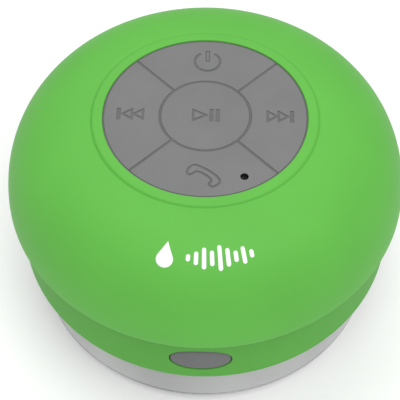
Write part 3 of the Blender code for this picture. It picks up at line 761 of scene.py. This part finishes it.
def call_icon():
    """A telephone handset, lying across the key."""
    ear = in_mm((-2.2, -15.4), (-2.8, -15.65), (-3.3, -15.2), (-2.95, -14.0), (-2.0, -13.2))
    back = in_mm((-0.9, -13.45), (0.7, -14.35), (2.2, -15.5))
    mouth = in_mm((3.1, -16.6), (3.3, -17.5), (2.6, -18.3), (1.85, -18.6), (1.15, -18.05), (1.6, -17.15))
    hollow = in_mm((1.3, -16.45), (0.3, -15.6), (-0.7, -15.0), (-1.5, -14.85))
    return [ribbon(smooth_loop((ear + back + mouth + hollow)[::-1], 4), ICON_LINE)]


def cut_from_key(key, name, cut):
    """Cuts the solids in cut out of the key. The new faces take the solids' material index."""
    cutter = object_from(name, cut, 0)
    for look in key.data.materials:
        cutter.data.materials.append(look)
    changed(key, cutter, "DIFFERENCE")


def make_key(name, outline, at, icon):
    """A cap with rounded edges and an engraved icon, on a stem. The call key has the microphone's hole."""
    key = prism(name + "_cap", outline, KEY_BOTTOM, KEY_TOP)
    bevel = key.modifiers.new("edge", "BEVEL")
    bevel.width = 0.10 * MM
    bevel.segments = 4
    bevel.limit_method = "ANGLE"
    bevel.angle_limit = math.radians(40)
    baked(key)
    # Slot 1 is the darker grey of painted shade in the engraved icons.
    for look in (LOOKS["keypad_silicone"], ENGRAVED_PAINTED_SHADE, LOOKS["seal_rubber"]):
        key.data.materials.append(look)
    changed(key, cylinders("stem", [(*at, STEM_RADIUS, STEM_BOTTOM, KEY_BOTTOM + 0.3 * MM)]), "UNION")
    for outer, inner in icon:
        lines = bmesh.new()
        if inner:
            groove_into(lines, outer, inner, *ICON_CUT)
        else:
            prism_into(lines, outer, *ICON_CUT, index=1)
        cut_from_key(key, "line", lines)
    if name == "call":
        bore = bmesh.new()
        # The sound hole's walls take the black rubber (slot 2): painted shade, so the hole reads black.
        prism_into(bore, arc(MICROPHONE, SOUND_HOLE, 0, 350, 35), *CAP_CUT, index=2)
        cut_from_key(key, "sound_hole", bore)
    place(shade(key), name + "_button", name + "_key", [])


def make_keys():
    icons = {"power": power_icon(), "previous": skip_icon(-1), "next": skip_icon(1), "call": call_icon()}
    for name, angle in KEY_ANGLES.items():
        make_key(name, sector(angle), around(KEY_CIRCLE, angle), icons[name])
    centre = arc((0, 0), CENTRE_GROOVE - GROOVE / 2, 0, 355, 71)
    make_key("play_pause", centre, (0.0, 0.0), play_icon())


def make_web():
    """The silicone sheet under the keys, with a rib standing in each groove between them."""
    rib_top = KEY_TOP - GROOVE_DEPTH
    low, flange, platform = WEB_LOW.z, WEB_LOW.z + 0.9 * MM, WEB_HIGH.z
    half = GROOVE / 2 - 0.04 * MM
    inner, outer = CENTRE_GROOVE - half, CENTRE_GROOVE + half
    rim, edge = KEYPAD_RADIUS + 0.03 * MM, OPENING_RADIUS - 0.03 * MM
    outline = [(0, low), (23.2 * MM, low), (23.2 * MM, flange), (edge, flange), (edge, rib_top),
               (rim, rib_top), (rim, platform), (outer, platform), (outer, rib_top), (inner, rib_top),
               (inner, platform), (0, platform)]
    web = turned("keypad_sheet", outline, 96)
    rib_end = 20.9 * MM
    for angle in (45, 135):
        bm = bmesh.new()
        turn = Matrix.Rotation(math.radians(angle), 2)
        for way in (1, -1):
            corners = ((way * CENTRE_GROOVE, -half), (way * rib_end, -half),
                       (way * rib_end, half), (way * CENTRE_GROOVE, half))
            outline = [tuple(turn @ Vector(corner)) for corner in corners]
            prism_into(bm, outline, platform - 0.3 * MM, rib_top)
        changed(web, object_from("ribs", bm, 0), "UNION")
    holes = [(*at, STEM_HOLE, *WEB_CUT) for at in circle_of(KEY_CIRCLE, KEY_ANGLES.values())]
    holes += [(0.0, 0.0, STEM_HOLE, *WEB_CUT), (*MICROPHONE, SOUND_HOLE + 0.25 * MM, *WEB_CUT)]
    changed(web, cylinders("stem_holes", holes), "DIFFERENCE")
    # The sheet and its ribs take the darker grey: painted shade in the grooves between the keys.
    place(shade(web), "case", "keypad_web", [SHEET_PAINTED_SHADE])


# ---------------------------------------------------------------- port plug and cup


def ring_radius(height):
    """The green ring's outer radius at this height."""
    line = ring_line()
    for (r1, z1), (r2, z2) in zip(line, line[1:]):
        if z2 <= height <= z1:
            return r1 + (r2 - r1) * (height - z1) / min(z2 - z1, -1e-9)
    return line[-1][0]


def plug_cap():
    """The plug's cap: a face that follows the ring's curve, with a rounded edge and a flat back."""
    bm = bmesh.new()
    edge = 0.45 * MM
    steps = [(0.0, -0.75 * MM)]
    steps += [(edge + x, z - edge) for x, z in arc((0, 0), edge, 180, 90, 6)]
    steps += [(edge + 0.45 * MM * k, 0.03 * MM * min(k, 2)) for k in range(1, 5)]
    loops = []
    for inset, lift in steps:
        loop = []
        for x, z in oval(PORT_WIDTH - 2 * inset, PORT_HEIGHT - 2 * inset, (0, PORT_Z)):
            radius = ring_radius(z) + lift
            loop.append(bm.verts.new((x, -math.sqrt(radius**2 - x**2), z)))
        loops.append(loop)
    back = [bm.verts.new((v.co.x, -39.2 * MM, v.co.z)) for v in loops[0]]
    loops.insert(0, back)
    for one, two in zip(loops, loops[1:]):
        for k in range(len(one)):
            after = (k + 1) % len(one)
            bm.faces.new((one[k], one[after], two[after], two[k]))
    bm.faces.new(back)
    last = loops[-1]
    half = len(last) // 2
    for k in range(half - 1):
        bm.faces.new((last[k], last[k + 1], last[len(last) - 2 - k], last[len(last) - 1 - k]))
    return object_from("port_cap", bm, 0)


def make_plug():
    """The cap with its nub, its strap and the cross-bar that keeps the strap in the case."""
    plug = plug_cap()
    nub = stadium(7.6 * MM, 2.6 * MM, (0.6 * MM, PORT_Z))
    changed(plug, prism("nub", nub, -39.6 * MM, -38.6 * MM, "Y"), "UNION")
    strap = (-5.7, -4.7, 1.0, -39.6, -30.6)
    cross_bar = (-5.8, -4.6, 1.9, -31.2, -30.2)
    for left, right, half, front, end in (strap, cross_bar):
        corners = [(x * MM, PORT_Z + z * MM) for x, z in
                   ((left, -half), (right, -half), (right, half), (left, half))]
        changed(plug, prism("strap", round_corners(corners, 0.2 * MM), front * MM, end * MM, "Y"), "UNION")
    place(shade(plug), "plug", "port_plug", [LOOKS["plug_rubber"]])


def make_cup():
    """The skirt, widest at a rounded edge, with the lip that it stands on tucked in under it."""
    edge_z = 4.0 * MM
    edge = arc((CUP_RADIUS - 1 * MM, edge_z), 1 * MM, -48, 0, 10)
    line_radius = CUP_RADIUS - 0.4 * MM
    line = [(line_radius, edge_z + 0.1 * MM), (line_radius, edge_z + 0.45 * MM)]
    wall = bezier([(CUP_RADIUS - 0.02 * MM, edge_z + 0.6 * MM), (CUP_RADIUS - 0.02 * MM, 7.0 * MM),
                   (37.5 * MM, 9.5 * MM), (37.4 * MM, 13.2 * MM)], 24)
    shoulder = arc((35.8 * MM, 13.5 * MM), 1.6 * MM, 0, 88, 12)
    inside = bezier(in_mm((9.6, 11.7), (22.0, 11.6), (33.5, 9.0), (32.9, 0.35)), 40)
    lip = in_mm((33.0, 0.1), (33.2, 0.0), (34.7, 0.0), (34.95, 0.1))
    outline = in_mm((4.3, 15.0), (4.3, 11.7)) + inside + lip
    outline += edge + line + wall + shoulder + in_mm((12.4, 15.2), (12.0, 15.1), (11.6, 15.2), (4.5, 15.2))
    cup = turned("cup_skirt", outline)
    place(shade(cup, 50), "cup", "suction_cup", [LOOKS["cup_silicone"]])


# ---------------------------------------------------------------- the driver's flexing rings


def flexing(ring, node, slot):
    """Hides the CAD node and gives the ring its material; its points are laid out along X by distance from
    the axis, its transform is baked in, and the points are put back.
    """
    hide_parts(node)
    ring.data.materials.append(LOOKS[slot])
    places = [vertex.co.copy() for vertex in ring.data.vertices]
    for vertex, at in zip(ring.data.vertices, places):
        vertex.co = (at.xy.length, 0, 0)  # laid out along X by distance from the axis
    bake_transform(ring)
    for vertex, at in zip(ring.data.vertices, places):
        vertex.co = at


def make_surround():
    """A half roll between two flat flanges."""
    roll = arc((19.3 * MM, 21.0 * MM), 1.1 * MM, 180, 0, 16)
    inside = arc((19.3 * MM, 20.75 * MM), 0.8 * MM, 0, 180, 16)
    outline = in_mm((16.8, 20.75), (16.8, 21.0)) + roll + in_mm((23.2, 21.0), (23.2, 20.75)) + inside
    ring = shade(turned("cone_surround", outline, 128), 50)
    flexing(ring, "surround", "seal_rubber")


def make_spider():
    """A corrugated cloth disc that centres the voice coil."""
    level, wave_height, waves, steps = 27.83, 0.4, 3, 48
    middle = in_mm((7.15, level), (8.2, level))
    for step in range(steps + 1):
        wave = math.sin(math.pi * step / steps) ** 0.5 * math.sin(math.tau * waves * step / steps)
        middle += in_mm((8.6 + 4.8 * step / steps, level + wave_height * wave))
    middle += in_mm((13.9, level), (16.6, level))
    half = 0.11 * MM
    outline = [(r, z + half) for r, z in middle] + [(r, z - half) for r, z in middle[::-1]]
    ring = shade(turned("cone_spider", outline, 128), 50)
    flexing(ring, "spider", "spider_cloth")


# ---------------------------------------------------------------- carried-over CAD nodes


def dress_nodes():
    """Gives every CAD node that still shows the material of its slot."""
    for row in frame["record"]["subparts"]:
        node = NODES[row["node"]]
        node.data.materials.clear()
        node.data.materials.append(LOOKS[row["material_slot"]])


# ---------------------------------------------------------------- camera, light and floor


def make_camera():
    """The camera, in front of the speaker and above it."""
    data = bpy.data.cameras.new("camera")
    data.lens = LENS
    data.shift_x, data.shift_y = SHIFT
    data.clip_start = 0.01
    camera = bpy.data.objects.new("camera", data)
    turn, rise = math.radians(TURN), math.radians(ELEVATION)
    back = Vector((math.sin(turn) * math.cos(rise), -math.cos(turn) * math.cos(rise), math.sin(rise)))
    camera.location = Vector((0, 0, SIGHT_HEIGHT)) + back * DISTANCE
    camera.rotation_euler = (-back).to_track_quat("-Z", "Y").to_euler()
    bpy.context.scene.collection.objects.link(camera)
    bpy.context.scene.camera = camera


def make_light(name, place_at, size, power, target=(0, 0, 0.03)):
    """A round soft light that faces the speaker."""
    data = bpy.data.lights.new(name, "AREA")
    data.shape = "DISK"
    data.size = size
    data.energy = power
    light = bpy.data.objects.new(name, data)
    light.location = place_at
    light.rotation_euler = (Vector(target) - Vector(place_at)).to_track_quat("-Z", "Y").to_euler()
    bpy.context.scene.collection.objects.link(light)


def make_floor():
    """A pale floor that glows a little, so that the speaker's shadow on it stays pale too."""
    bm = bmesh.new()
    bmesh.ops.create_circle(bm, cap_ends=True, radius=3.0, segments=96)
    floor = bpy.data.objects.new("floor", bpy.data.meshes.new("floor"))
    bm.to_mesh(floor.data)
    bm.free()
    bpy.context.scene.collection.objects.link(floor)
    look = moulded("pale_floor", (0.86, 0.86, 0.86), 0.005, (0.8, 0.9), 300, 0.01 * MM, 5,
                   constants=(("Emission Strength", 0.14),))
    floor.data.materials.append(look)


def make_studio():
    """Even white surroundings and two soft lights from above."""
    world = bpy.data.worlds.new("studio")
    bpy.context.scene.world = world
    world.use_nodes = True
    background = world.node_tree.nodes["Background"]
    background.inputs["Color"].default_value = (1, 1, 1, 1)
    background.inputs["Strength"].default_value = 0.45
    make_light("key_light", (0.12, -0.3, 0.75), 0.6, 3.5)
    make_light("top_light", (-0.1, 0.3, 0.8), 0.7, 2.4)
    bpy.context.scene.view_settings.view_transform = "Standard"


make_camera()
make_studio()
make_floor()
dress_nodes()
make_dome()
make_ring()
make_mark()
make_keys()
make_web()
make_plug()
make_cup()
make_surround()
make_spider()
